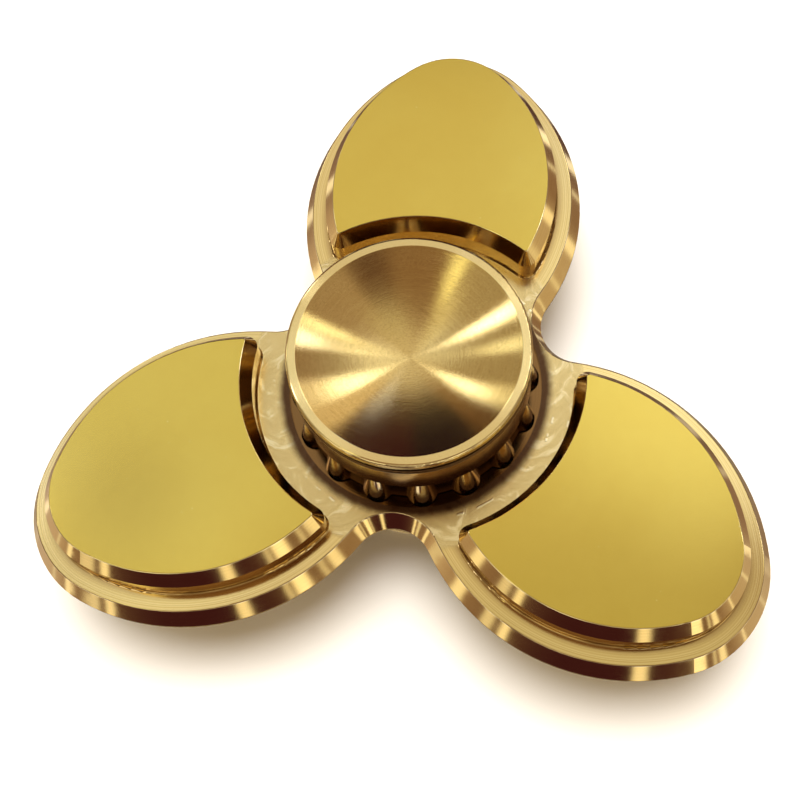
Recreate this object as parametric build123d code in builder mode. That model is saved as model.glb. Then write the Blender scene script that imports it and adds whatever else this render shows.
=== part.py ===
from build123d import *
import math
import os

os.makedirs("parts", exist_ok=True)

# ---------------------------------------------------------------------------
# Three-lobed fidget spinner. Hub axis is Z, the plate's mid-plane is Z = 0.
# Lobes point at 90, 210 and 330 degrees. All sizes in millimetres.
# ---------------------------------------------------------------------------
LOBE_ANGLES = (90.0, 210.0, 330.0)

# plate
ROTOR_TIP_R = 32.5        # widest outline, hub axis to lobe tip
LAND_HALF = 0.15          # half of the upright land round the mid-plane
LEDGE_Z = 2.0             # ledge surface above the mid-plane
RIM_BEVEL_OUT = 0.80      # outer bevel, horizontal run
PAD_Z = 5.45              # pad surface above the mid-plane
PAD_BEVEL_OUT = 0.75      # pad bevel, horizontal run
PAD_BEVEL_DROP = 1.38     # pad bevel, height
PAD_FOOT_R = 0.18         # small radius where the pad wall meets the ledge
EDGE_BREAK = 0.08         # broken edge round a pad's top
RIM_BREAK = 0.10          # broken edge round the ledge

# petal outline of a pad's top face, in the lobe's own frame (X is radial)
PAD_SIDE_X = 16.98        # centre of a side arc
PAD_SIDE_Y = 5.43
PAD_SIDE_R = 14.44
PAD_TIP_X = 23.82         # centre of the tip arc
PAD_INNER_R = 13.70       # inner arc, about the hub
PAD_CORNER_R = 0.18
LEDGE_OUT = 2.13          # pad top outline to ledge edge
WAIST_R = 4.0             # concave radius between two lobes, at ledge level
PAD_TIP_R = PAD_SIDE_R - math.hypot(PAD_TIP_X - PAD_SIDE_X, PAD_SIDE_Y)

# hub recess and bore in the plate
RECESS_R = 10.25
RECESS_FLOOR_Z = 1.60
PLATE_BORE_R = 8.00

# hub sleeve and lock nut
COLLAR_R = 9.40
COLLAR_TOP_Z = 8.36
FLANGE_TOP_Z = 4.85
FLANGE_LOW_Z = 1.85
LOBE_COUNT = 16
LOBE_PHASE = 11.25
LOBE_TIP_R = 10.08        # at the foot of a lobe, which tapers in to the collar
LOBE_ARC_R = 1.20
LOBE_CHAMFER = 0.15
NOTCH_R = 9.25
SEAT_R = 8.90
SLEEVE_R = 7.95
HUB_THREAD_R = 7.60       # crest radius of the sleeve's thread
HUB_THREAD_PITCH = 0.75
HUB_THREAD_DEPTH = 0.40
SLEEVE_TOP_Z = 4.00
WELL_R = 8.30             # well for the button's boss
WELL_FLOOR_Z = 6.55
STEM_BORE_R = 4.70
NOSE_IN_R = 5.55          # ring that presses on the outer race
NOSE_OUT_R = 6.25
WEB_LOW_Z = 4.40

# finger buttons
BUTTON_R = 9.40
BUTTON_TOP_Z = 9.91
BUTTON_LOW_Z = 9.08
LIP_IN_R = 8.65
DISH_DEPTH = 2.10
BOSS_R = 7.95
BOSS_LOW_Z = 6.90
STEM_R = 4.20
NOSE_R = 3.165
NOSE_LOW_Z = 0.05
STUD_R = 2.00
STUD_HALF = 6.60
STUD_BORE_Z = 6.85
STUD_PITCH = 0.70
STUD_THREAD_DEPTH = 0.35
THREAD_GAP = 0.02

# ball bearing, 6.35 x 12.7 x 4.762
BRG_OUT_R = 6.35
BRG_IN_R = 3.175
BRG_HALF = 2.381
BALL_COUNT = 10
BALL_R = 0.794
PITCH_R = 4.7625
GROOVE_R = 0.84
BALL_GAP = 0.02
OUTER_LAND_R = 5.25
INNER_LAND_R = 4.30
SHIELD_SEAT_Z = 1.75
SHIELD_SEAT_R = 5.70
CLIP_GROOVE_R = 5.86
CLIP_Z0, CLIP_Z1 = 1.99, 2.22
SEAT_GAP = 0.01


def polar(r, deg):
    return (r * math.cos(math.radians(deg)), r * math.sin(math.radians(deg)))


def turn(p, deg):
    c, s = math.cos(math.radians(deg)), math.sin(math.radians(deg))
    return (p[0] * c - p[1] * s, p[0] * s + p[1] * c)


def on_circle(c, r, deg):
    return (c[0] + r * math.cos(math.radians(deg)), c[1] + r * math.sin(math.radians(deg)))


def angle_to(c, p):
    return math.degrees(math.atan2(p[1] - c[1], p[0] - c[0]))


# -- petal geometry ---------------------------------------------------------
SIDE_UP = (PAD_SIDE_X, -PAD_SIDE_Y)      # centre of the +Y side arc
SIDE_DN = (PAD_SIDE_X, PAD_SIDE_Y)       # centre of the -Y side arc
TIP_C = (PAD_TIP_X, 0.0)
TIP_DEG = angle_to(SIDE_UP, TIP_C)       # direction in which side and tip arcs touch


def pad_corner(grow):
    """Upper inner corner of a pad outline moved outward by grow."""
    inner, side = PAD_INNER_R - grow, PAD_SIDE_R + grow
    k = inner ** 2 + PAD_SIDE_X ** 2 + PAD_SIDE_Y ** 2 - side ** 2
    a, b = k / (2 * PAD_SIDE_X), PAD_SIDE_Y / PAD_SIDE_X
    qa, qb, qc = 1 + b * b, 2 * a * b, a * a - inner ** 2
    y = (-qb + math.sqrt(qb * qb - 4 * qa * qc)) / (2 * qa)
    return (a + b * y, y)


# the ledge outline is the pad's side and tip arcs moved outward
OUT_SIDE_R = PAD_SIDE_R + LEDGE_OUT
OUT_TIP_R = PAD_TIP_R + LEDGE_OUT


def waist_centre(side_r, fillet_r):
    """Distance from the hub axis to the waist arc's centre, on the 60 degree line."""
    cx, cy = turn(SIDE_UP, -60.0)        # side circle seen from the waist's own axis
    d = side_r + fillet_r
    return cx + math.sqrt(d * d - cy * cy)


WAIST_C = waist_centre(OUT_SIDE_R, WAIST_R)


# -- rotor body -------------------------------------------------------------
def outline_points(grow):
    """Closed chain of arcs (start, middle, end) for the plate outline."""
    side_r, tip_r, waist_r = OUT_SIDE_R + grow, OUT_TIP_R + grow, WAIST_R - grow
    arcs = []
    for lobe in LOBE_ANGLES:
        wc = polar(WAIST_C, 60.0)                      # waist arc after this lobe
        wc0 = polar(WAIST_C, -60.0)
        up_w = angle_to(SIDE_UP, wc)                   # side arc to waist arc
        dn_w = angle_to(SIDE_DN, wc0)
        p_dn_w = on_circle(SIDE_DN, side_r, dn_w)
        p_dn_t = on_circle(SIDE_DN, side_r, -TIP_DEG)
        p_up_t = on_circle(SIDE_UP, side_r, TIP_DEG)
        p_up_w = on_circle(SIDE_UP, side_r, up_w)
        m_dn = on_circle(SIDE_DN, side_r, (dn_w - TIP_DEG) / 2)
        m_up = on_circle(SIDE_UP, side_r, (up_w + TIP_DEG) / 2)
        w_mid = polar(WAIST_C - waist_r, 60.0)
        nxt = turn(p_dn_w, 120.0)
        for arc in (
            (p_dn_w, m_dn, p_dn_t),
            (p_dn_t, (PAD_TIP_X + tip_r, 0.0), p_up_t),
            (p_up_t, m_up, p_up_w),
            (p_up_w, w_mid, nxt),
        ):
            arcs.append([turn(p, lobe) for p in arc])
    return arcs


RIM_TAPER = math.degrees(math.atan2(RIM_BEVEL_OUT, LEDGE_Z - LAND_HALF))
PAD_TAPER = math.degrees(math.atan2(PAD_BEVEL_OUT, PAD_BEVEL_DROP))
FOOT_Z = PAD_Z - PAD_BEVEL_DROP



def draw_outline(grow):
    """Plate outline, moved outward by grow from the ledge edge."""
    with BuildLine() as outline:
        for a, b, c in outline_points(grow):
            ThreePointArc(a, b, c)
    make_face(outline.edges())


def draw_pad(lobe, grow):
    """Pad outline of one lobe, moved outward by grow from its top face."""
    corner = pad_corner(grow)
    side_r, tip_r = PAD_SIDE_R + grow, PAD_TIP_R + grow
    up_t = on_circle(SIDE_UP, side_r, TIP_DEG)
    mid = on_circle(SIDE_UP, side_r, (TIP_DEG + angle_to(SIDE_UP, corner)) / 2)
    dn_t, dn_m, dn_c = [(p[0], -p[1]) for p in (up_t, mid, corner)]
    with BuildLine() as petal:
        ThreePointArc(turn(dn_c, lobe), turn(dn_m, lobe), turn(dn_t, lobe))
        ThreePointArc(turn(dn_t, lobe), turn((PAD_TIP_X + tip_r, 0), lobe), turn(up_t, lobe))
        ThreePointArc(turn(up_t, lobe), turn(mid, lobe), turn(corner, lobe))
        ThreePointArc(turn(corner, lobe), turn((PAD_INNER_R - grow, 0), lobe), turn(dn_c, lobe))
        near = petal.vertices().sort_by_distance((0, 0))[:2]
        fillet(near, radius=PAD_CORNER_R + grow)
    make_face(petal.edges())


def ledge_edges(edges):
    """Edges on the ledge surface: those at the foot of a pad, those on the plate's rim."""
    feet, rims = [], []
    for edge in edges.filter_by_position(Axis.Z, LEDGE_Z - 0.001, LEDGE_Z + 0.001):
        m = edge @ 0.5
        if math.hypot(m.X, m.Y) < RECESS_R + 0.05:
            continue                                   # mouth of the hub recess
        away = math.degrees(math.atan2(m.Y, m.X))
        lobe = min(LOBE_ANGLES, key=lambda q: -math.cos(math.radians(q - away)))
        x, y = turn((m.X, m.Y), -lobe)
        if x < PAD_TIP_X:
            out = math.hypot(x - SIDE_UP[0], abs(y) - SIDE_UP[1]) - PAD_SIDE_R
        else:
            out = math.hypot(x - PAD_TIP_X, y) - PAD_TIP_R
        (feet if out < (PAD_BEVEL_OUT + LEDGE_OUT) / 2 else rims).append(edge)
    return feet, rims


with BuildPart() as rotor_body:
    # upper half of the plate: upright land, then the outer bevel up to the ledge
    with BuildSketch(Plane.XY):
        draw_outline(RIM_BEVEL_OUT)
    extrude(amount=LAND_HALF)
    with BuildSketch(Plane.XY.offset(LAND_HALF)):
        draw_outline(RIM_BEVEL_OUT)
    extrude(amount=LEDGE_Z - LAND_HALF, taper=RIM_TAPER)
    # three raised pads: upright wall, then the bevel
    for lobe in LOBE_ANGLES:
        with BuildSketch(Plane.XY.offset(LEDGE_Z - 0.2)):
            draw_pad(lobe, PAD_BEVEL_OUT)
        extrude(amount=FOOT_Z - LEDGE_Z + 0.2)
        with BuildSketch(Plane.XY.offset(FOOT_Z)):
            draw_pad(lobe, PAD_BEVEL_OUT)
        with BuildSketch(Plane.XY.offset(PAD_Z)):
            draw_pad(lobe, 0.0)
        loft(ruled=True)
    # round recess and bore for the hub
    with BuildSketch(Plane.XY.offset(RECESS_FLOOR_Z)):
        Circle(RECESS_R)
    extrude(amount=3.0, mode=Mode.SUBTRACT)
    with BuildSketch(Plane.XY.offset(-1)):
        Circle(PLATE_BORE_R)
    extrude(amount=5, mode=Mode.SUBTRACT)
    # small radius at the foot of each pad wall
    feet, rims = ledge_edges(rotor_body.edges())
    fillet(feet, radius=PAD_FOOT_R)
    # broken edges round the pad tops and round the ledge
    fillet(rotor_body.faces().filter_by(Plane.XY).group_by(Axis.Z)[-1].edges(), radius=EDGE_BREAK)
    feet, rims = ledge_edges(rotor_body.edges())
    fillet(rims, radius=RIM_BREAK)
    # the underside repeats the top
    mirror(about=Plane.XY)
rotor_body.part.label = "rotor_body"
export_step(rotor_body.part, "parts/rotor_body.step")


# -- hub --------------------------------------------------------------------
def thread_rings(crest, root, pitch, z0, z1):
    """Profile points of a thread drawn as V rings, crests on whole pitches."""
    k0, k1 = math.ceil((z0 + pitch / 2) / pitch), math.floor((z1 - pitch / 2) / pitch)
    pts = [(root, k0 * pitch - pitch / 2)]
    for k in range(k0, k1 + 1):
        pts += [(crest, k * pitch), (root, k * pitch + pitch / 2)]
    return pts


HUB_ROOT_R = HUB_THREAD_R - HUB_THREAD_DEPTH
BORE_R = BRG_OUT_R + SEAT_GAP
FACE_Z = BRG_HALF + SEAT_GAP
HUB_RINGS = thread_rings(HUB_THREAD_R, HUB_ROOT_R, HUB_THREAD_PITCH, RECESS_FLOOR_Z + 0.1, SLEEVE_TOP_Z)


LOBE_DRAFT = math.degrees(math.atan((LOBE_TIP_R - COLLAR_R) / (FLANGE_TOP_Z - FLANGE_LOW_Z)))


def draw_scallops():
    """Round core with rounded grip lobes."""
    Circle(NOTCH_R)
    with PolarLocations(LOBE_TIP_R - LOBE_ARC_R, LOBE_COUNT, start_angle=LOBE_PHASE):
        Circle(LOBE_ARC_R)


with BuildPart() as hub_lock_nut:
    # scalloped grip flange, its lobes tapered in to the collar
    with BuildSketch(Plane.XY.offset(FLANGE_LOW_Z)) as scallops:
        draw_scallops()
        fillet(scallops.vertices(), radius=0.25)
    extrude(amount=FLANGE_TOP_Z - FLANGE_LOW_Z, taper=LOBE_DRAFT)
    # chamfer under the lobes
    with BuildSketch(Plane.XZ):
        Polygon(
            (0, FLANGE_LOW_Z), (LOBE_TIP_R - LOBE_CHAMFER, FLANGE_LOW_Z),
            (LOBE_TIP_R + 0.01, FLANGE_LOW_Z + LOBE_CHAMFER + 0.01),
            (LOBE_TIP_R + 0.01, FLANGE_TOP_Z), (0, FLANGE_TOP_Z), align=None)
    revolve(axis=Axis.Z, mode=Mode.INTERSECT)
    # plain collar, clamping seat and web
    with BuildSketch(Plane.XZ) as collar:
        Polygon(
            (0, RECESS_FLOOR_Z), (SEAT_R, RECESS_FLOOR_Z), (SEAT_R, FLANGE_TOP_Z), (COLLAR_R, FLANGE_TOP_Z),
            (COLLAR_R, COLLAR_TOP_Z), (0, COLLAR_TOP_Z), align=None)
        fillet(collar.vertices().sort_by_distance((COLLAR_R, COLLAR_TOP_Z))[0], radius=0.12)
    revolve(axis=Axis.Z)
    # well for the button, bore for its stem, threaded socket with the clamping nose
    rings = [(r + THREAD_GAP, z) for r, z in HUB_RINGS]
    with BuildSketch(Plane.XZ):
        Polygon(
            (0, COLLAR_TOP_Z + 1), (WELL_R, COLLAR_TOP_Z + 1), (WELL_R, WELL_FLOOR_Z), (STEM_BORE_R, WELL_FLOOR_Z),
            (STEM_BORE_R, WEB_LOW_Z), (NOSE_IN_R, WEB_LOW_Z), (NOSE_IN_R, FACE_Z), (NOSE_OUT_R, FACE_Z),
            (NOSE_OUT_R, WEB_LOW_Z), (HUB_ROOT_R + THREAD_GAP, WEB_LOW_Z),
            *reversed(rings), (HUB_ROOT_R + THREAD_GAP, RECESS_FLOOR_Z - 1), (0, RECESS_FLOOR_Z - 1), align=None)
    revolve(axis=Axis.Z, mode=Mode.SUBTRACT)
    # broken edge at the mouth of the well
    mouth = hub_lock_nut.edges().filter_by(GeomType.CIRCLE).filter_by_position(
        Axis.Z, COLLAR_TOP_Z - 0.001, COLLAR_TOP_Z + 0.001).sort_by(SortBy.RADIUS)[0]
    chamfer(mouth, length=0.15)
hub_lock_nut.part.label = "hub_lock_nut"
export_step(hub_lock_nut.part, "parts/hub_lock_nut.step")

with BuildPart() as hub_sleeve:
    # lower grip flange, the upper one turned over
    with BuildSketch(Plane.XY.offset(FLANGE_LOW_Z)) as low_scallops:
        draw_scallops()
        fillet(low_scallops.vertices(), radius=0.25)
    extrude(amount=FLANGE_TOP_Z - FLANGE_LOW_Z, taper=LOBE_DRAFT)
    with BuildSketch(Plane.XZ):
        Polygon(
            (0, FLANGE_LOW_Z), (LOBE_TIP_R - LOBE_CHAMFER, FLANGE_LOW_Z),
            (LOBE_TIP_R + 0.01, FLANGE_LOW_Z + LOBE_CHAMFER + 0.01),
            (LOBE_TIP_R + 0.01, FLANGE_TOP_Z), (0, FLANGE_TOP_Z), align=None)
    revolve(axis=Axis.Z, mode=Mode.INTERSECT)
    mirror(about=Plane.XY, mode=Mode.REPLACE)
    # plain collar, clamping seat, sleeve through the plate, threaded top
    with BuildSketch(Plane.XZ) as low_collar:
        Polygon(
            (0, -COLLAR_TOP_Z), (COLLAR_R, -COLLAR_TOP_Z), (COLLAR_R, -FLANGE_TOP_Z), (SEAT_R, -FLANGE_TOP_Z),
            (SEAT_R, -RECESS_FLOOR_Z),
            (SLEEVE_R, -RECESS_FLOOR_Z), (SLEEVE_R, RECESS_FLOOR_Z - 0.1), (HUB_ROOT_R, RECESS_FLOOR_Z - 0.1),
            *HUB_RINGS, (HUB_ROOT_R, SLEEVE_TOP_Z), (0, SLEEVE_TOP_Z), align=None)
        fillet(low_collar.vertices().sort_by_distance((COLLAR_R, -COLLAR_TOP_Z))[0], radius=0.12)
    revolve(axis=Axis.Z)
    # bearing bore with its shoulder, stem bore and well
    with BuildSketch(Plane.XZ):
        Polygon(
            (0, SLEEVE_TOP_Z + 1), (BORE_R, SLEEVE_TOP_Z + 1), (BORE_R, -FACE_Z), (NOSE_IN_R, -FACE_Z),
            (NOSE_IN_R, -WEB_LOW_Z), (STEM_BORE_R, -WEB_LOW_Z), (STEM_BORE_R, -WELL_FLOOR_Z), (WELL_R, -WELL_FLOOR_Z),
            (WELL_R, -COLLAR_TOP_Z - 1), (0, -COLLAR_TOP_Z - 1), align=None)
    revolve(axis=Axis.Z, mode=Mode.SUBTRACT)
    low_mouth = hub_sleeve.edges().filter_by(GeomType.CIRCLE).filter_by_position(
        Axis.Z, -COLLAR_TOP_Z - 0.001, -COLLAR_TOP_Z + 0.001).sort_by(SortBy.RADIUS)[0]
    chamfer(low_mouth, length=0.15)
hub_sleeve.part.label = "hub_sleeve"
export_step(hub_sleeve.part, "parts/hub_sleeve.step")

# -- finger buttons ---------------------------------------------------------
DISH_R = (LIP_IN_R ** 2 + DISH_DEPTH ** 2) / (2 * DISH_DEPTH)
DISH_LOW_Z = BUTTON_TOP_Z - DISH_DEPTH
DISH_MID_R = LIP_IN_R / 2
DISH_MID_Z = DISH_LOW_Z + DISH_R - math.sqrt(DISH_R ** 2 - DISH_MID_R ** 2)
STUD_ROOT_R = STUD_R - STUD_THREAD_DEPTH
STUD_RINGS = thread_rings(STUD_R, STUD_ROOT_R, STUD_PITCH, NOSE_LOW_Z + 0.1, STUD_HALF)

with BuildPart() as top_button:
    with BuildSketch(Plane.XZ) as button:
        with BuildLine():
            Polyline(
                (0, DISH_LOW_Z), (0, STUD_BORE_Z), (STUD_ROOT_R + THREAD_GAP, STUD_BORE_Z),
                *reversed([(r + THREAD_GAP, z) for r, z in STUD_RINGS]),
                (STUD_ROOT_R + THREAD_GAP, NOSE_LOW_Z), (NOSE_R - 0.2, NOSE_LOW_Z), (NOSE_R, NOSE_LOW_Z + 0.2),
                (NOSE_R, FACE_Z), (STEM_R, FACE_Z), (STEM_R, BOSS_LOW_Z), (BOSS_R, BOSS_LOW_Z),
                (BOSS_R, BUTTON_LOW_Z), (BUTTON_R, BUTTON_LOW_Z), (BUTTON_R, BUTTON_TOP_Z), (LIP_IN_R, BUTTON_TOP_Z))
            ThreePointArc((LIP_IN_R, BUTTON_TOP_Z), (DISH_MID_R, DISH_MID_Z), (0, DISH_LOW_Z))
        make_face()
        fillet(button.vertices().sort_by_distance((BUTTON_R, BUTTON_TOP_Z))[0], radius=0.22)
        fillet(button.vertices().sort_by_distance((BUTTON_R, BUTTON_LOW_Z))[0], radius=0.12)
        fillet(button.vertices().sort_by_distance((LIP_IN_R, BUTTON_TOP_Z))[0], radius=0.15)
        fillet(button.vertices().sort_by_distance((BOSS_R, BOSS_LOW_Z))[0], radius=0.3)
    revolve(axis=Axis.Z)
top_button.part.label = "top_button"
export_step(top_button.part, "parts/top_button.step")

with BuildPart() as bottom_button:
    add(mirror(top_button.part, about=Plane.XY, mode=Mode.PRIVATE))
bottom_button.part.label = "bottom_button"
export_step(bottom_button.part, "parts/bottom_button.step")

with BuildPart() as axle_stud:
    with BuildSketch(Plane.XZ):
        ups = [p for p in STUD_RINGS]
        downs = [(r, -z) for r, z in reversed(ups)]
        Polygon(
            (0, -STUD_HALF), (STUD_ROOT_R, -STUD_HALF), *downs, (STUD_ROOT_R, 0.0), *ups,
            (STUD_ROOT_R, STUD_HALF), (0, STUD_HALF), align=None)
    revolve(axis=Axis.Z)
axle_stud.part.label = "axle_stud"
export_step(axle_stud.part, "parts/axle_stud.step")

# -- ball bearing -----------------------------------------------------------
OUT_GROOVE_C = PITCH_R + BALL_R + BALL_GAP - GROOVE_R
IN_GROOVE_C = PITCH_R - BALL_R - BALL_GAP + GROOVE_R

with BuildPart() as bearing_outer_race:
    half = [
        (OUTER_LAND_R, SHIELD_SEAT_Z), (SHIELD_SEAT_R, SHIELD_SEAT_Z), (SHIELD_SEAT_R, CLIP_Z0),
        (CLIP_GROOVE_R, CLIP_Z0), (CLIP_GROOVE_R, CLIP_Z1), (SHIELD_SEAT_R, CLIP_Z1), (SHIELD_SEAT_R, BRG_HALF),
        (BRG_OUT_R - 0.15, BRG_HALF), (BRG_OUT_R, BRG_HALF - 0.15)]
    with BuildSketch(Plane.XZ):
        Polygon(*half, *[(r, -z) for r, z in reversed(half)], align=None)
        with Locations((OUT_GROOVE_C, 0)):
            Circle(GROOVE_R, mode=Mode.SUBTRACT)
    revolve(axis=Axis.Z)
bearing_outer_race.part.label = "bearing_outer_race"
export_step(bearing_outer_race.part, "parts/bearing_outer_race.step")

with BuildPart() as bearing_inner_race:
    with BuildSketch(Plane.XZ):
        Polygon(
            (BRG_IN_R, -BRG_HALF + 0.15), (BRG_IN_R + 0.15, -BRG_HALF), (INNER_LAND_R, -BRG_HALF),
            (INNER_LAND_R, BRG_HALF), (BRG_IN_R + 0.15, BRG_HALF), (BRG_IN_R, BRG_HALF - 0.15), align=None)
        with Locations((IN_GROOVE_C, 0)):
            Circle(GROOVE_R, mode=Mode.SUBTRACT)
    revolve(axis=Axis.Z)
bearing_inner_race.part.label = "bearing_inner_race"
export_step(bearing_inner_race.part, "parts/bearing_inner_race.step")

with BuildPart() as bearing_cage:
    # crown cage: a ring below the balls with snap pockets open upward
    with BuildSketch(Plane.XZ):
        Polygon((4.42, -1.15), (5.10, -1.15), (5.10, 0.35), (4.42, 0.35), align=None)
    revolve(axis=Axis.Z)
    with PolarLocations(PITCH_R, BALL_COUNT):
        Sphere(BALL_R + 0.05, mode=Mode.SUBTRACT)
bearing_cage.part.label = "bearing_cage"
export_step(bearing_cage.part, "parts/bearing_cage.step")

for i in range(BALL_COUNT):
    with BuildPart() as bearing_ball:
        with Locations(polar(PITCH_R, 360.0 * i / BALL_COUNT)):
            Sphere(BALL_R)
    bearing_ball.part.label = f"bearing_ball_{i + 1:02d}"
    export_step(bearing_ball.part, f"parts/bearing_ball_{i + 1:02d}.step")

for name, side in (("top", 1), ("bottom", -1)):
    with BuildPart() as bearing_shield:
        # pressed disc that closes the gap between the races
        with BuildSketch(Plane.XZ):
            Polygon(
                (4.40, side * 1.84), (4.85, side * 1.84), (5.05, side * (SHIELD_SEAT_Z + SEAT_GAP)),
                (SHIELD_SEAT_R - 0.02, side * (SHIELD_SEAT_Z + SEAT_GAP)), (SHIELD_SEAT_R - 0.02, side * 1.95),
                (5.12, side * 1.95), (4.92, side * 2.03), (4.40, side * 2.03), align=None)
        revolve(axis=Axis.Z)
    bearing_shield.part.label = f"bearing_shield_{name}"
    export_step(bearing_shield.part, f"parts/bearing_shield_{name}.step")
    with BuildPart() as shield_clip:
        # split wire ring that snaps into the outer race's groove
        with BuildSketch(Plane.XZ):
            Polygon(
                (5.42, side * (CLIP_Z0 + 0.01)), (CLIP_GROOVE_R - 0.02, side * (CLIP_Z0 + 0.01)),
                (CLIP_GROOVE_R - 0.02, side * (CLIP_Z1 - 0.01)), (5.42, side * (CLIP_Z1 - 0.01)), align=None)
        revolve(axis=Axis.Z, revolution_arc=342)
    shield_clip.part.label = f"shield_clip_{name}"
    export_step(shield_clip.part, f"parts/shield_clip_{name}.step")
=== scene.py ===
import math

import bpy
from mathutils import Matrix, Vector


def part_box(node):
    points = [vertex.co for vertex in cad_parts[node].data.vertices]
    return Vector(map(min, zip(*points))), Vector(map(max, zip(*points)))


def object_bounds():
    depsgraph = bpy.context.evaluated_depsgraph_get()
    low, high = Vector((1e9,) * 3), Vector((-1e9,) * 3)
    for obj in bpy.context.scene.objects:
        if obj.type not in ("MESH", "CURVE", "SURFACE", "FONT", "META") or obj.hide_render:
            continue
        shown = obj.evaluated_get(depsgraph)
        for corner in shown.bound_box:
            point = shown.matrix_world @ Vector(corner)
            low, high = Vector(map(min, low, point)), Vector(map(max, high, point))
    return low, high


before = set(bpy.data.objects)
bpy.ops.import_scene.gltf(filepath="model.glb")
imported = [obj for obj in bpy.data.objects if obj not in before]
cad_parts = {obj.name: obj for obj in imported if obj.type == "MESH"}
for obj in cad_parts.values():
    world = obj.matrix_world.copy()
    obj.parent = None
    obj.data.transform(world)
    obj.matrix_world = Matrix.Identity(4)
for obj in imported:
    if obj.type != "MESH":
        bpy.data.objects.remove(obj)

cad_lo, cad_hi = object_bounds()
scene = bpy.context.scene
scene.view_settings.view_transform = "Standard"
scene.view_settings.look = "None"
scene.view_settings.exposure = 0.0
scene.view_settings.gamma = 1.0

# ------------------------------------------------------------------ sizes
# Read from the part boxes where they can be, the ledge depth and the recess and inner radii given; all in millimetres
# for the materials.
body_lo, body_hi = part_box("rotor_body")
cap_lo, cap_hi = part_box("top_button")
nut_lo, nut_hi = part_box("hub_lock_nut")
PAD_TOP = body_hi.z * 1000.0                 # pad face
TIP_R = body_hi.y * 1000.0                   # lobe tip, mid-plane
LEDGE = PAD_TOP - 3.45                       # ledge face
CAP_R = cap_hi.x * 1000.0
CAP_TOP = cap_hi.z * 1000.0
NUT_R = nut_hi.x * 1000.0
NUT_TOP = nut_hi.z * 1000.0
RECESS_R = 10.25
INNER_R = 13.70


# ------------------------------------------------------------------ nodes
class Graph:
    """A node tree written as expressions. Every value is a socket or a number."""

    def __init__(self, tree):
        self.tree = tree

    def node(self, kind, **sets):
        n = self.tree.nodes.new(kind)
        for k, v in sets.items():
            setattr(n, k, v)
        return n

    def put(self, socket, value):
        if value is None:
            return
        if isinstance(value, bpy.types.NodeSocket):
            self.tree.links.new(value, socket)
        elif isinstance(value, (tuple, list)) and socket.type == "RGBA" and len(value) == 3:
            socket.default_value = (*value, 1.0)
        else:
            socket.default_value = value

    def math(self, op, a, b=None, c=None, clamp=False):
        n = self.node("ShaderNodeMath", operation=op, use_clamp=clamp)
        for s, v in zip(n.inputs, (a, b, c)):
            self.put(s, v)
        return n.outputs[0]

    def add(self, a, b):
        return self.math("ADD", a, b)

    def sub(self, a, b):
        return self.math("SUBTRACT", a, b)

    def mul(self, *vs):
        out = vs[0]
        for v in vs[1:]:
            out = self.math("MULTIPLY", out, v)
        return out

    def vec(self, op, a, b=None, scale=None):
        n = self.node("ShaderNodeVectorMath", operation=op)
        self.put(n.inputs[0], a)
        if b is not None:
            self.put(n.inputs[1], b)
        if scale is not None:
            self.put(n.inputs["Scale"], scale)
        return n.outputs["Value" if op in ("DOT_PRODUCT", "LENGTH", "DISTANCE") else "Vector"]

    def step(self, x, lo, hi):
        """0 below lo, 1 above hi, smooth between. Runs downward when hi < lo."""
        n = self.node("ShaderNodeMapRange", interpolation_type="SMOOTHSTEP")
        n.clamp = True
        if hi < lo:
            for i, v in enumerate((x, hi, lo, 1.0, 0.0)):
                self.put(n.inputs[i], v)
        else:
            for i, v in enumerate((x, lo, hi, 0.0, 1.0)):
                self.put(n.inputs[i], v)
        return n.outputs[0]

    def lerp(self, f, a, b):
        n = self.node("ShaderNodeMix", data_type="FLOAT")
        self.put(n.inputs[0], f)
        self.put(n.inputs[2], a)
        self.put(n.inputs[3], b)
        return n.outputs[0]

    def tint(self, f, a, b, blend="MIX"):
        n = self.node("ShaderNodeMix", data_type="RGBA", blend_type=blend)
        self.put(n.inputs[0], f)
        self.put(n.inputs[6], a)
        self.put(n.inputs[7], b)
        return n.outputs[2]

    def xyz(self, v):
        n = self.node("ShaderNodeSeparateXYZ")
        self.put(n.inputs[0], v)
        return n.outputs[0], n.outputs[1], n.outputs[2]

    def join(self, x, y, z):
        n = self.node("ShaderNodeCombineXYZ")
        for s, v in zip(n.inputs, (x, y, z)):
            self.put(s, v)
        return n.outputs[0]

    def noise(self, v, scale=1.0, detail=2.0, rough=0.5, warp=0.0, dims="3D", w=0.0):
        n = self.node("ShaderNodeTexNoise", noise_dimensions=dims)
        if dims in ("1D", "4D"):
            self.put(n.inputs["W"], w)
        if dims != "1D":
            self.put(n.inputs["Vector"], v)
        self.put(n.inputs["Scale"], scale)
        self.put(n.inputs["Detail"], detail)
        self.put(n.inputs["Roughness"], rough)
        self.put(n.inputs["Distortion"], warp)
        return n.outputs["Fac"]

    def cells(self, v, scale=1.0, feature="F1", jitter=1.0):
        n = self.node("ShaderNodeTexVoronoi", feature=feature)
        self.put(n.inputs["Vector"], v)
        self.put(n.inputs["Scale"], scale)
        self.put(n.inputs["Randomness"], jitter)
        return n

    def bump(self, height, strength, dist=1.0e-5, normal=None):
        n = self.node("ShaderNodeBump")
        self.put(n.inputs["Strength"], strength)
        self.put(n.inputs["Distance"], dist)
        self.put(n.inputs["Height"], height)
        self.put(n.inputs["Normal"], normal)
        return n.outputs[0]


def material(name):
    m = bpy.data.materials.new(name)
    m.use_nodes = True
    m.node_tree.nodes.clear()
    g = Graph(m.node_tree)
    out = g.node("ShaderNodeOutputMaterial")
    bsdf = g.node("ShaderNodeBsdfPrincipled")
    g.tree.links.new(bsdf.outputs[0], out.inputs[0])
    bsdf.inputs["Metallic"].default_value = 1.0
    return m, g, bsdf


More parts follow.
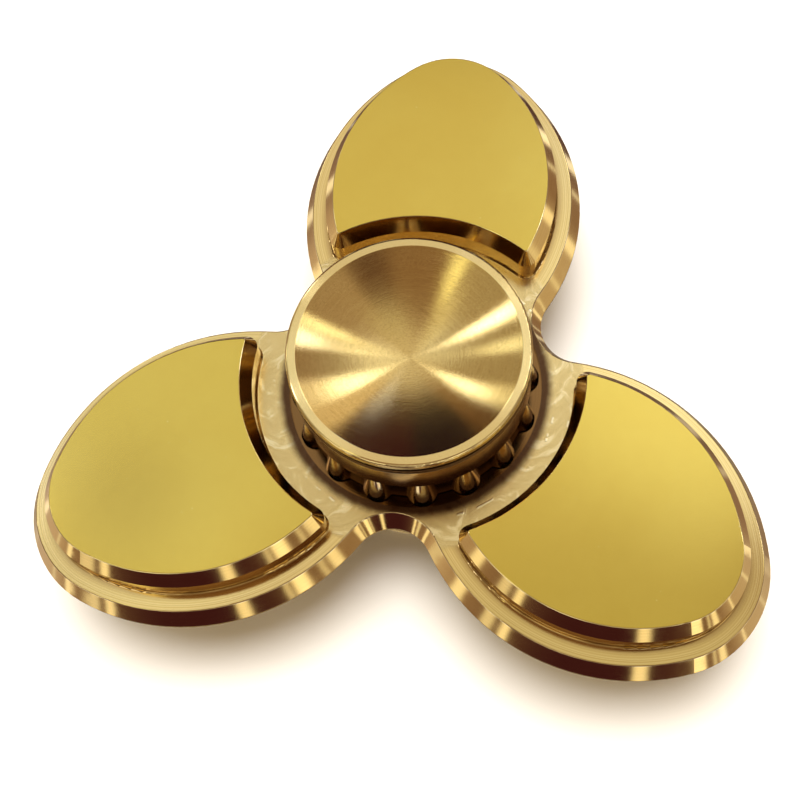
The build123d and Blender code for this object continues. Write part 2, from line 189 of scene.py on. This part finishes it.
def place(g):
    """Object coordinates in mm with r, angle, |z| and |normal z|."""
    tc = g.node("ShaderNodeTexCoord")
    p = g.vec("SCALE", tc.outputs["Object"], scale=1000.0)
    x, y, z = g.xyz(p)
    r = g.math("SQRT", g.add(g.mul(x, x), g.mul(y, y)))
    a = g.math("ARCTAN2", y, x)
    nx, ny, nz = g.xyz(tc.outputs["Normal"])
    return dict(p=p, x=x, y=y, z=z, r=r, a=a, az=g.math("ABSOLUTE", z), nz=g.math("ABSOLUTE", nz), n=tc.outputs["Normal"])


# ------------------------------------------------------------------ brass plate
def brass_plate():
    m, g, b = material("plate_brass_look")
    c = place(g)
    # the lobe's own frame: X along the lobe, Y folded to one side
    third = g.math("SUBTRACT", g.math("WRAP", g.sub(c["a"], math.radians(90)), math.radians(60), math.radians(-60)), 0.0)
    u = g.mul(c["r"], g.math("COSINE", third))
    v = g.math("ABSOLUTE", g.mul(c["r"], g.math("SINE", third)))
    # distance line that runs parallel to the petal outline
    du, dv = g.sub(u, 16.98), g.add(v, 5.43)
    side = g.math("SQRT", g.add(g.mul(du, du), g.mul(dv, dv)))
    tu = g.sub(u, 23.82)
    tip = g.add(g.math("SQRT", g.add(g.mul(tu, tu), g.mul(v, v))), math.hypot(6.84, 5.43))
    on_tip = g.math("LESS_THAN", g.sub(g.mul(dv, 6.84), g.mul(du, 5.43)), 0.0)
    track = g.lerp(on_tip, side, tip)

    flat = g.step(c["nz"], 0.93, 0.985)
    pad = g.mul(g.step(c["az"], PAD_TOP - 0.10, PAD_TOP - 0.02), flat)
    edge = g.mul(g.step(c["az"], PAD_TOP - 0.14, PAD_TOP - 0.06), g.sub(1.0, flat))
    low = g.step(c["az"], LEDGE - 0.06, LEDGE - 0.14)
    recess = g.mul(g.step(c["r"], RECESS_R + 0.12, RECESS_R - 0.02), low)
    ledge = g.mul(flat, g.sub(1.0, pad), g.sub(1.0, recess))
    hub = g.mul(ledge, g.step(c["r"], INNER_R + 0.25, INNER_R - 0.25))
    slope = g.sub(1.0, flat)

    broad = g.noise(c["p"], 0.11, 3.0, 0.55, 0.6)
    mid = g.noise(c["p"], 0.9, 4.0, 0.6, 0.4)
    fine = g.noise(c["p"], 9.0, 3.0, 0.6)
    grain = g.noise(c["p"], 22.0, 2.0, 0.5)

    # pads: satin, faintly mottled, a few light specks and hairlines
    pad_col = g.tint(broad, (0.70, 0.525, 0.10), (0.785, 0.63, 0.145))
    pad_col = g.tint(g.mul(g.step(mid, 0.35, 0.8), 0.14), pad_col, (0.66, 0.50, 0.10))
    pad_col = g.tint(g.mul(grain, 0.14), pad_col, (0.98, 0.83, 0.36))
    specks = g.cells(c["p"], 1.15)
    speck = g.mul(g.step(specks.outputs["Distance"], 0.075, 0.03), g.step(g.noise(c["p"], 0.35, 2.0), 0.50, 0.62))
    pad_col = g.tint(g.mul(speck, 0.8), pad_col, (1.0, 0.93, 0.62))
    for turn, wide, seed in ((25.0, 5.5, 4.0), (-50.0, 6.5, 17.0), (78.0, 4.5, 31.0)):
        ct, st = math.cos(math.radians(turn)), math.sin(math.radians(turn))
        along = g.add(g.mul(c["x"], ct), g.mul(c["y"], st))
        across = g.sub(g.mul(c["y"], ct), g.mul(c["x"], st))
        cell = g.cells(g.join(g.mul(along, 0.34), g.mul(across, wide), seed), 1.0)
        hair = g.mul(g.step(cell.outputs["Distance"], 0.16, 0.05), g.step(g.noise(c["p"], 0.31, 1.0, 0.5, 0.0), 0.52, 0.60))
        pad_col = g.tint(g.mul(hair, 0.05), pad_col, (1.0, 0.92, 0.60))

    # polished slopes and the ledge
    pol = g.tint(mid, (0.80, 0.585, 0.235), (0.90, 0.70, 0.32))
    lines_z = g.noise(None, 7.0, 3.0, 0.75, dims="1D", w=c["z"])
    lines_t = g.noise(None, 9.0, 3.0, 0.7, dims="1D", w=track)
    pol = g.tint(g.mul(slope, g.step(lines_z, 0.35, 0.7), 0.22), pol, (0.62, 0.41, 0.15))
    led = g.tint(g.step(lines_t, 0.3, 0.7), (0.80, 0.62, 0.27), (0.92, 0.76, 0.40))
    # painted reflection: the ledge next to a pad's foot is painted dark brown where it would mirror the pad's wall
    led = g.tint(g.mul(g.step(g.add(track, g.mul(mid, 0.12)), 16.00, 15.30), 0.66), led, (0.36, 0.21, 0.08))

    # hub zone: overlapping curved cutter strokes round the hub, with rows of short dashes
    wob = g.noise(c["p"], 0.45, 2.0, 0.5, 0.4)
    off = g.sub(c["r"], 12.3)

    def strokes(lean, bend, wide, long, seed):
        t = g.add(c["a"], g.add(g.mul(off, lean), g.mul(off, off, bend)))
        t = g.add(t, g.mul(g.sub(wob, 0.5), 0.16))
        v = g.join(g.mul(g.math("COSINE", t), 12.3 * wide), g.mul(g.math("SINE", t), 12.3 * wide), g.add(g.mul(off, long), seed))
        return g.noise(v, 1.0, 3.0, 0.55, 0.25)

    s1 = strokes(0.075, 0.030, 1.55, 0.42, 2.0)
    s2 = strokes(-0.11, -0.022, 1.10, 0.60, 9.0)
    which = g.step(g.noise(c["p"], 0.30, 1.0, 0.5, 0.5), 0.44, 0.56)
    swirl = g.lerp(which, s1, s2)
    dap = g.step(swirl, 0.53, 0.68)
    dash_a = g.noise(g.join(g.mul(g.math("COSINE", c["a"]), 16.0), g.mul(g.math("SINE", c["a"]), 16.0), 0.0), 1.0, 2.0, 0.6)
    row = g.math("MAXIMUM",
                 g.step(g.math("ABSOLUTE", g.sub(c["r"], g.add(12.55, g.mul(wob, 0.5)))), 0.17, 0.04),
                 g.step(g.math("ABSOLUTE", g.sub(c["r"], g.add(11.20, g.mul(wob, 0.5)))), 0.14, 0.03))
    dash = g.mul(row, g.step(dash_a, 0.53, 0.60), g.step(broad, 0.40, 0.55))
    hub_col = g.tint(swirl, (0.74, 0.585, 0.275), (0.92, 0.775, 0.44))
    hub_col = g.tint(g.mul(dap, 0.45), hub_col, (1.0, 0.93, 0.70))
    hub_col = g.tint(g.mul(dash, 0.75), hub_col, (1.0, 0.95, 0.74))
    pit = g.mul(g.step(g.cells(c["p"], 1.7).outputs["Distance"], 0.10, 0.04), g.step(fine, 0.5, 0.6))
    hub_col = g.tint(g.mul(pit, 0.6), hub_col, (0.36, 0.22, 0.09))

    col = g.tint(ledge, pol, led)
    col = g.tint(hub, col, hub_col)
    col = g.tint(pad, col, pad_col)
    # pad edge breaks painted lighter: partly rubbed wear, partly a painted highlight
    col = g.tint(g.mul(edge, 0.7), col, (1.0, 0.88, 0.52))
    # painted highlight: a light line painted along the ledge's outer edge break
    ledge_rim_highlight = g.mul(slope, g.step(c["az"], LEDGE - 0.13, LEDGE - 0.07), g.step(c["az"], LEDGE + 0.03, LEDGE - 0.01))
    col = g.tint(g.mul(ledge_rim_highlight, 0.7), col, (1.0, 0.90, 0.60))
    # painted highlight: a faint light ring painted on the ledge just outside the recess
    recess_rim_glint = g.mul(ledge, g.step(c["r"], RECESS_R + 0.16, RECESS_R + 0.05))
    col = g.tint(g.mul(recess_rim_glint, 0.25), col, (1.0, 0.92, 0.62))
    # painted shade: a near-black ring painted on the ledge round the nut's foot
    nut_foot_shade = g.mul(g.sub(ledge, pad), g.step(g.add(c["r"], g.mul(mid, 0.35)), 11.55, 10.75))
    col = g.tint(g.mul(nut_foot_shade, 0.95), col, (0.070, 0.026, 0.016))
    # tarnish gathers in the corner under a pad
    foot = g.mul(slope, g.step(c["az"], LEDGE + 0.42, LEDGE + 0.05), g.step(c["az"], LEDGE - 0.08, LEDGE + 0.0))
    col = g.tint(g.mul(foot, g.add(0.25, g.mul(mid, 0.5))), col, (0.36, 0.20, 0.075))
    # painted shade: the recess is painted dark brown, darker towards its floor
    recess_shade_col = g.tint(mid, (0.13, 0.065, 0.030), (0.22, 0.125, 0.055))
    recess_shade_col = g.tint(g.step(c["az"], LEDGE - 0.9, LEDGE - 0.2), recess_shade_col, (0.26, 0.15, 0.062))
    col = g.tint(recess, col, recess_shade_col)
    g.put(b.inputs["Base Color"], col)

    ro_pad = g.add(0.115, g.mul(broad, 0.04))
    ro_pol = g.add(0.075, g.mul(mid, 0.07))
    ro_led = g.add(0.075, g.mul(lines_t, 0.06))
    ro_hub = g.sub(g.add(0.15, g.mul(g.sub(1.0, dap), 0.12)), g.mul(dash, 0.08))
    ro = g.lerp(ledge, ro_pol, ro_led)
    ro = g.lerp(hub, ro, ro_hub)
    ro = g.lerp(pad, ro, ro_pad)
    ro = g.lerp(recess, ro, g.add(0.10, g.mul(mid, 0.08)))
    g.put(b.inputs["Roughness"], ro)

    h = g.mul(pad, g.add(g.mul(grain, 0.35), g.mul(fine, 0.25)))
    h = g.add(h, g.mul(slope, lines_z, 0.45))
    h = g.add(h, g.mul(g.sub(ledge, hub), lines_t, 0.40))
    h = g.add(h, g.mul(hub, g.add(g.mul(swirl, 5.0), g.add(g.mul(fine, 0.3), g.mul(dash, 2.5)))))
    h = g.add(h, g.mul(recess, g.noise(None, 5.0, 3.0, 0.7, dims="1D", w=c["r"]), 0.8))
    g.put(b.inputs["Normal"], g.bump(h, 1.0, 3.0e-6))
    return m


# ------------------------------------------------------------------ hub brass
def brass_hub():
    m, g, b = material("hub_brass_look")
    c = place(g)
    mid = g.noise(c["p"], 1.1, 4.0, 0.6, 0.4)
    lines = g.noise(None, 8.0, 3.0, 0.75, dims="1D", w=c["z"])
    turned = g.noise(None, 8.0, 3.0, 0.7, dims="1D", w=c["r"])
    up = g.step(c["nz"], 0.7, 0.95)
    teeth = g.mul(g.step(c["az"], 4.90, 4.84), g.step(c["az"], 1.5, 1.7))
    band = g.mul(g.step(c["az"], 4.84, 4.90), g.sub(1.0, up))
    # depth of a point below the cone through the lobe tips
    cone = g.sub(10.08 + 0.2267 * 1.85, g.mul(c["az"], 0.2267))
    deep = g.mul(teeth, g.step(g.sub(cone, c["r"]), 0.30, 0.62))
    foot = g.mul(teeth, g.step(c["az"], 2.5, 1.9))
    gap = g.mul(g.step(c["az"], NUT_TOP - 0.26, NUT_TOP - 0.13), g.step(c["r"], 8.4, 8.6))
    col = g.tint(mid, (0.74, 0.52, 0.21), (0.88, 0.67, 0.31))
    col = g.tint(g.mul(band, g.step(lines, 0.4, 0.7), 0.30), col, (0.50, 0.31, 0.11))
    # painted shade: the collar's side is painted darker towards its bottom
    col = g.tint(g.mul(band, g.step(c["az"], 7.2, 5.8), 0.80), col, (0.33, 0.165, 0.062))
    # painted highlight: lobe fronts painted pale, with lighter patches that stand for wear and highlight together
    wear_and_highlight = g.mul(teeth, g.sub(1.0, deep), g.step(g.noise(c["p"], 2.6, 3.0, 0.6), 0.42, 0.66))
    col = g.tint(g.mul(g.sub(teeth, deep), 0.55), col, (0.98, 0.88, 0.64))
    col = g.tint(g.mul(wear_and_highlight, 0.8), col, (1.0, 0.95, 0.80))
    # painted shade: the notches between the lobes are painted near black
    col = g.tint(g.mul(deep, 0.92), col, (0.12, 0.050, 0.022))
    # painted shade: the lobes' lower ends are painted darker where they meet the plate
    col = g.tint(g.mul(foot, 0.62), col, (0.20, 0.095, 0.038))
    # painted shade: the collar's top annulus in the gap under the cap is painted near black
    col = g.tint(g.mul(gap, 0.88), col, (0.10, 0.040, 0.018))
    g.put(b.inputs["Base Color"], col)
    ro = g.lerp(deep, g.add(0.095, g.mul(mid, 0.08)), 0.24)
    ro = g.lerp(band, ro, g.add(0.09, g.mul(mid, 0.08)))
    ro = g.lerp(gap, ro, 0.35)
    g.put(b.inputs["Roughness"], ro)
    # turned lines on the collar, fine upright cutter lines on the lobes
    upright = g.noise(g.join(g.mul(g.math("COSINE", c["a"]), 95.0), g.mul(g.math("SINE", c["a"]), 95.0), 0.0), 1.0, 2.0, 0.6)
    h = g.add(g.mul(lines, band, 0.8), g.mul(turned, up, 0.8))
    h = g.add(h, g.mul(teeth, upright, 1.1))
    h = g.add(h, g.mul(g.noise(c["p"], 11.0, 2.0), 0.25))
    g.put(b.inputs["Normal"], g.bump(h, 1.0, 1.6e-6))
    return m


# ------------------------------------------------------------------ button brass
def brass_button():
    m, g, b = material("button_brass_look")
    c = place(g)
    r, a = c["r"], c["a"]
    dish = g.mul(g.step(r, 8.66, 8.60), g.step(c["az"], 7.0, 7.6))
    lip = g.step(r, 8.60, 8.68)
    # grain drawn out along the turning direction
    wrap = g.join(g.mul(g.math("COSINE", a), 3.2), g.mul(g.math("SINE", a), 3.2), g.mul(r, 9.0))
    streak = g.noise(wrap, 1.0, 3.0, 0.6)
    fleck = g.noise(c["p"], 7.0, 3.0, 0.65)
    rings = g.noise(None, 14.0, 4.0, 0.75, dims="1D", w=r)
    col = g.tint(streak, (0.74, 0.555, 0.225), (0.90, 0.725, 0.36))
    col = g.tint(g.mul(g.step(fleck, 0.45, 0.7), 0.34), col, (0.56, 0.38, 0.14))
    lip_col = g.tint(fleck, (0.88, 0.70, 0.34), (0.96, 0.82, 0.46))
    # painted shade: the button's lower edge and underside are painted dark brown
    under = g.step(c["az"], CAP_TOP - 0.72, CAP_TOP - 0.80)
    lip_col = g.tint(g.mul(under, 0.8), lip_col, (0.46, 0.28, 0.10))
    col = g.tint(lip, col, lip_col)
    g.put(b.inputs["Base Color"], col)
    ro = g.lerp(dish, g.add(0.13, g.mul(fleck, 0.05)), g.add(0.118, g.mul(streak, 0.055)))
    g.put(b.inputs["Roughness"], ro)
    b.inputs["Anisotropic"].default_value = 1.0
    b.inputs["Anisotropic Rotation"].default_value = 0.25
    t = g.node("ShaderNodeTangent", direction_type="RADIAL", axis="Z")
    g.put(b.inputs["Tangent"], t.outputs[0])
    h = g.add(g.mul(rings, dish, 1.0), g.add(g.mul(fleck, dish, 0.5), g.mul(streak, dish, 1.4)))
    g.put(b.inputs["Normal"], g.bump(h, 1.0, 3.0e-6))
    return m


# ------------------------------------------------------------------ steels
def steel(name, low, high, rough, lines_on_z=True, dark=0.0):
    m, g, b = material(name)
    c = place(g)
    mid = g.noise(c["p"], 1.6, 4.0, 0.6)
    lines = g.noise(None, 12.0, 3.0, 0.7, dims="1D", w=c["r"] if not lines_on_z else c["z"])
    col = g.tint(mid, low, high)
    col = g.tint(g.mul(g.step(lines, 0.45, 0.7), 0.25 + dark), col, tuple(v * 0.6 for v in low))
    g.put(b.inputs["Base Color"], col)
    g.put(b.inputs["Roughness"], g.add(rough, g.mul(mid, 0.08)))
    g.put(b.inputs["Normal"], g.bump(g.add(lines, g.mul(mid, 0.4)), 0.8, 2.0e-6))
    return m


looks = {
    "plate_brass": brass_plate(),
    "hub_brass": brass_hub(),
    "button_brass": brass_button(),
    "race_steel": steel("race_steel_look", (0.50, 0.50, 0.51), (0.62, 0.62, 0.62), 0.10, False),
    "ball_steel": steel("ball_steel_look", (0.66, 0.66, 0.67), (0.72, 0.72, 0.72), 0.04),
    "cage_steel": steel("cage_steel_look", (0.42, 0.41, 0.39), (0.56, 0.55, 0.53), 0.26),
    "shield_steel": steel("shield_steel_look", (0.48, 0.48, 0.48), (0.60, 0.60, 0.59), 0.18, False),
    "clip_steel": steel("clip_steel_look", (0.30, 0.29, 0.28), (0.44, 0.43, 0.42), 0.30, False, 0.1),
    "stud_steel": steel("stud_steel_look", (0.22, 0.22, 0.23), (0.34, 0.34, 0.35), 0.28, True, 0.1),
}
for node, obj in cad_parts.items():
    for s in obj.material_slots:
        key = s.material.name.split(".")[0] if s.material else ""
        if key in looks:
            s.material = looks[key]
        else:
            print("no look for", node, key)

# ------------------------------------------------------------------ world
def direction(az, el):
    a, e = math.radians(az), math.radians(el)
    return (math.cos(a) * math.cos(e), math.sin(a) * math.cos(e), math.sin(e))


world = bpy.data.worlds.new("studio")
scene.world = world
world.use_nodes = True
world.node_tree.nodes.clear()
g = Graph(world.node_tree)
out = g.node("ShaderNodeOutputWorld")
d = g.vec("NORMALIZE", g.node("ShaderNodeTexCoord").outputs["Generated"])
dx, dy, dz = g.xyz(d)
flatlen = g.math("MAXIMUM", g.math("SQRT", g.add(g.mul(dx, dx), g.mul(dy, dy))), 1e-4)
hx, hy = g.math("DIVIDE", dx, flatlen), g.math("DIVIDE", dy, flatlen)

sky = g.tint(g.step(dz, 0.0, 0.60), (0.15, 0.09, 0.055), (0.34, 0.27, 0.18))
sky = g.tint(g.step(dz, 0.80, 0.98), sky, (0.50, 0.42, 0.30))


def spot(base, az, el, inner, outer, colour):
    """A soft round patch: azimuth, elevation, full inside, gone outside."""
    f = g.step(g.vec("DOT_PRODUCT", d, direction(az, el)), math.cos(math.radians(outer)), math.cos(math.radians(inner)))
    return g.tint(f, base, colour)


sky = spot(sky, 102, 12, 12, 22, (0.026, 0.005, 0.012))
for az in (-135, -108, -52, -25):
    sky = spot(sky, az, 25, 6, 14, (1.5, 1.35, 1.0))
sky = spot(sky, -80, 26, 4, 13, (0.7, 0.6, 0.45))

# The lamps over the dish are set by where a shallow bowl at the hub would show them:
# fx, fy are millimetres on the bowl, fr and the unit vector (fux, fuy) its polar form.
fold = g.vec("NORMALIZE", g.vec("ADD", d, (0.1158, -0.3703, 0.9216)))
fx, fy, fz = g.xyz(fold)
fx, fy = g.mul(fx, -21.0), g.mul(fy, -21.0)
fr = g.math("MAXIMUM", g.math("SQRT", g.add(g.mul(fx, fx), g.mul(fy, fy))), 1e-4)
fux, fuy = g.math("DIVIDE", fx, fr), g.math("DIVIDE", fy, fr)


def fan(deg, inner, outer, *reach):
    """A sector round deg, and with reach (r0, r1, r2, r3) only between those radii."""
    a = math.radians(deg)
    dot = g.add(g.mul(fux, math.cos(a)), g.mul(fuy, math.sin(a)))
    f = g.step(dot, math.cos(math.radians(outer)), math.cos(math.radians(inner)))
    if reach:
        f = g.mul(f, g.step(fr, reach[0], reach[1]), g.step(fr, reach[3], reach[2]))
    return f


dome = (0.28, 0.165, 0.085)
for f, colour in (
    (fan(150, 6, 26), (0.42, 0.30, 0.19)),
    (fan(121, 4, 15, 4.0, 7.0, 20.0, 21.0), (0.12, 0.055, 0.03)),
    (fan(48, 14, 30), (0.46, 0.36, 0.22)),
    (fan(5, 18, 30), (0.44, 0.35, 0.22)),
    (fan(192, 10, 22), (0.42, 0.34, 0.24)),
    (fan(192, 10, 22, 6.0, 8.5, 20.0, 21.0), (0.32, 0.20, 0.12)),
    (fan(228, 7, 14), (0.83, 0.65, 0.42)),
    (fan(318, 12, 20, 4.6, 7.4, 20.0, 21.0), (0.11, 0.05, 0.024)),
    (fan(272, 31, 36, 2.7, 3.4, 20.0, 21.0), (0.034, 0.004, 0.010)),
    (fan(297, 13, 20, 3.4, 5.0, 20.0, 21.0), (0.008, 0.002, 0.008)),
    (g.step(fr, 3.1, 1.9), (0.76, 0.64, 0.44)),
    (fan(29, 1.5, 5.5, 2.6, 3.6, 8.8, 9.8), (4.4, 4.3, 4.0)),
    (fan(214, 3.5, 10, 2.4, 3.2, 5.6, 7.4), (3.2, 3.2, 2.95)),
    (fan(212, 3, 9, 6.0, 7.2, 8.6, 9.6), (1.0, 0.82, 0.58)),
    (fan(335, 2.0, 7.5, 2.4, 3.2, 5.6, 7.8), (3.5, 3.5, 3.2)),
    (fan(338, 3, 9, 6.0, 7.2, 8.8, 9.8), (0.95, 0.84, 0.54)),
    (fan(170, 1.0, 5.0, 3.5, 5.0, 8.8, 9.8), (2.1, 2.0, 1.5)),
    (fan(180, 1.2, 5.5, 2.4, 3.0, 4.4, 5.6), (2.6, 2.5, 2.0)),
    (fan(180, 1.5, 6, 6.8, 7.8, 9.2, 10.2), (4.2, 4.2, 4.3)),
    (fan(9, 1.0, 5.5, 4.5, 6.5, 9.2, 10.2), (1.6, 1.55, 1.2)),
    (fan(53, 3, 9, 2.2, 2.8, 3.6, 4.6), (1.0, 0.92, 0.60)),
    (fan(62, 2, 8, 3.4, 4.2, 5.2, 6.2), (1.1, 1.0, 0.60)),
    (fan(69.5, 1.2, 5.5, 5.0, 6.0, 9.0, 10.0), (1.7, 1.6, 0.85)),
    (fan(247, 1.2, 5.5, 2.4, 3.2, 4.2, 5.8), (1.4, 1.5, 2.0)),
):
    dome = g.tint(f, dome, colour)
sky = g.tint(g.step(fr, 10.8, 9.4), sky, dome)

# soft areas seen in the flat faces
for area in (
    (102, 61, 6, 11, (0.84, 0.745, 0.57)),
    (138, 66, 5, 10, (0.86, 0.82, 0.68)),
    (74, 66, 4, 9.5, (1.24, 1.19, 1.02)),
    (64, 82, 4, 11, (0.65, 0.565, 0.37)),
    (66, 72.5, 0.6, 2.4, (1.06, 1.01, 0.90)),
    (93, 59, 0.6, 2.8, (0.95, 0.92, 0.86)),
    (143, 67.4, 1.4, 2.9, (0.56, 0.52, 0.47)),
    (147, 63.6, 0.6, 2.4, (0.98, 0.99, 1.12)),
    (141, 71.5, 0.6, 2.4, (1.08, 1.04, 0.86)),
):
    sky = spot(sky, *area)


def facing(az, inner, outer):
    """1 within inner degrees of an azimuth, 0 beyond outer."""
    a = math.radians(az)
    dot = g.add(g.mul(hx, math.cos(a)), g.mul(hy, math.sin(a)))
    return g.step(dot, math.cos(math.radians(outer)), math.cos(math.radians(inner)))


# below the horizon: brown room, darkest in front, lighter to the sides, with upright strips
low = g.tint(facing(-90, 10, 55), (0.30, 0.19, 0.125), (0.052, 0.013, 0.018))
low = g.tint(facing(2, 8, 34), low, (0.60, 0.47, 0.33))
low = g.tint(facing(182, 8, 34), low, (0.62, 0.47, 0.34))
low = g.tint(facing(92, 10, 50), low, (0.10, 0.05, 0.04))
low = g.tint(g.step(dz, -0.14, 0.02), low, (0.20, 0.13, 0.085))
low = g.tint(g.step(dz, -0.74, -0.92), low, (0.30, 0.235, 0.16))
STRIPS = (
    (-17, 0.3, 1.4, 1.3), (-35, 1.2, 3.4, 1.3), (-41, 0.4, 1.6, 0.9), (-51, 1.4, 4.4, 1.6), (-57, 0.4, 1.6, 0.9),
    (-75, 0.9, 3.4, 1.3), (-126, 0.5, 2.4, 1.4), (-133, 0.8, 3.2, 1.0), (-148, 1.0, 3.6, 1.3), (-162, 0.4, 1.8, 0.9),
    (172, 1.4, 4.4, 1.5), (146, 1.0, 4.0, 1.3), (120, 0.4, 2.0, 1.0), (108, 1.6, 4.6, 1.5), (84, 0.8, 3.2, 1.2),
    (62, 1.6, 4.6, 1.5), (48, 0.4, 1.8, 0.9), (24, 1.2, 4.2, 1.3), (6, 0.4, 1.8, 1.0),
)
tall = g.mul(g.step(dz, -0.84, -0.66), g.step(dz, -0.06, -0.20))
for az, inner, outer, level in STRIPS:
    f = g.mul(facing(az, inner, outer), tall)
    low = g.tint(f, low, (level, level * 0.90, level * 0.68))
# steep band under the front, seen in the hub's lobes through the waist
steep = g.mul(g.step(dz, -0.68, -0.73), g.step(dz, -0.95, -0.89))
low = g.tint(g.mul(facing(-84, 4, 13), steep), low, (0.06, 0.02, 0.02))
low = g.tint(g.mul(facing(-112, 8, 18), steep), low, (1.05, 0.88, 0.60))
low = g.tint(g.mul(facing(-57, 8, 18), steep), low, (1.05, 0.88, 0.60))
env = g.tint(g.step(dz, -0.02, 0.02), low, sky)
lit = g.node("ShaderNodeBackground")
g.put(lit.inputs[0], env)
plain = g.node("ShaderNodeBackground")
g.put(plain.inputs[0], (1.0, 1.0, 1.0))
path = g.node("ShaderNodeLightPath")
pick = g.node("ShaderNodeMixShader")
g.put(pick.inputs[0], path.outputs["Is Camera Ray"])
g.put(pick.inputs[1], lit.outputs[0])
g.put(pick.inputs[2], plain.outputs[0])
g.put(out.inputs[0], pick.outputs[0])

# ------------------------------------------------------------------ floor
half = 1.6
mesh = bpy.data.meshes.new("floor")
z0 = cad_lo.z - 0.00002
mesh.from_pydata([(-half, -half, z0), (half, -half, z0), (half, half, z0), (-half, half, z0)], [], [(0, 1, 2, 3)])
floor = bpy.data.objects.new("floor", mesh)
scene.collection.objects.link(floor)
m, g, b = material("floor_look")
b.inputs["Metallic"].default_value = 0.0
b.inputs["Roughness"].default_value = 0.9
b.inputs["Specular IOR Level"].default_value = 0.1
tc = g.node("ShaderNodeTexCoord")
g.put(b.inputs["Base Color"], g.tint(g.noise(tc.outputs["Object"], 30.0, 3.0), (0.925, 0.885, 0.83), (0.94, 0.905, 0.855)))
see = g.node("ShaderNodeMixShader")
clear = g.node("ShaderNodeBsdfTransparent")
g.put(see.inputs[0], g.node("ShaderNodeNewGeometry").outputs["Backfacing"])
g.put(see.inputs[1], b.outputs[0])
g.put(see.inputs[2], clear.outputs[0])
for n in g.tree.nodes:
    if n.bl_idname == "ShaderNodeOutputMaterial":
        g.put(n.inputs[0], see.outputs[0])
mesh.materials.append(m)
floor.visible_glossy = False

# ------------------------------------------------------------------ lights
def sun(name, az, el, energy, angle, colour):
    data = bpy.data.lights.new(name, "SUN")
    data.energy = energy
    data.angle = math.radians(angle)
    data.color = colour
    o = bpy.data.objects.new(name, data)
    scene.collection.objects.link(o)
    o.rotation_euler = Vector(direction(az, el)).to_track_quat("Z", "Y").to_euler()
    o.visible_glossy = False
    return o


sun("soft_key", 100, 80, 3.7, 36, (1.0, 0.99, 0.975))

# ------------------------------------------------------------------ camera
AZ, EL, ROLL = math.radians(10.23), math.radians(66.49), math.radians(-3.62)
back = Vector((math.sin(AZ) * math.cos(EL), -math.cos(AZ) * math.cos(EL), math.sin(EL)))
flat_right = Vector((math.cos(AZ), math.sin(AZ), 0.0))
flat_up = back.cross(flat_right)
right = flat_right * math.cos(ROLL) + flat_up * math.sin(ROLL)
up = -flat_right * math.sin(ROLL) + flat_up * math.cos(ROLL)
cam_data = bpy.data.cameras.new("camera")
cam = bpy.data.objects.new("camera", cam_data)
scene.collection.objects.link(cam)
cam_data.sensor_width = 36.0
cam_data.lens = 57.47
cam_data.shift_x = -0.0875
cam_data.shift_y = -0.0875
cam_data.clip_start, cam_data.clip_end = 0.005, 10.0
UNIT = 0.0008553
centre = Vector((0.0, 0.0, PAD_TOP / 1000.0))
t = Vector(((412.65 - 470.0) / 1277.08 * 117.59, -(369.29 - 330.0) / 1277.08 * 117.59, -117.59)) * UNIT
place_at = centre - (right * t.x + up * t.y + back * t.z)
cam.matrix_world = Matrix((
    (right.x, up.x, back.x, place_at.x),
    (right.y, up.y, back.y, place_at.y),
    (right.z, up.z, back.z, place_at.z),
    (0.0, 0.0, 0.0, 1.0),
))
scene.camera = cam
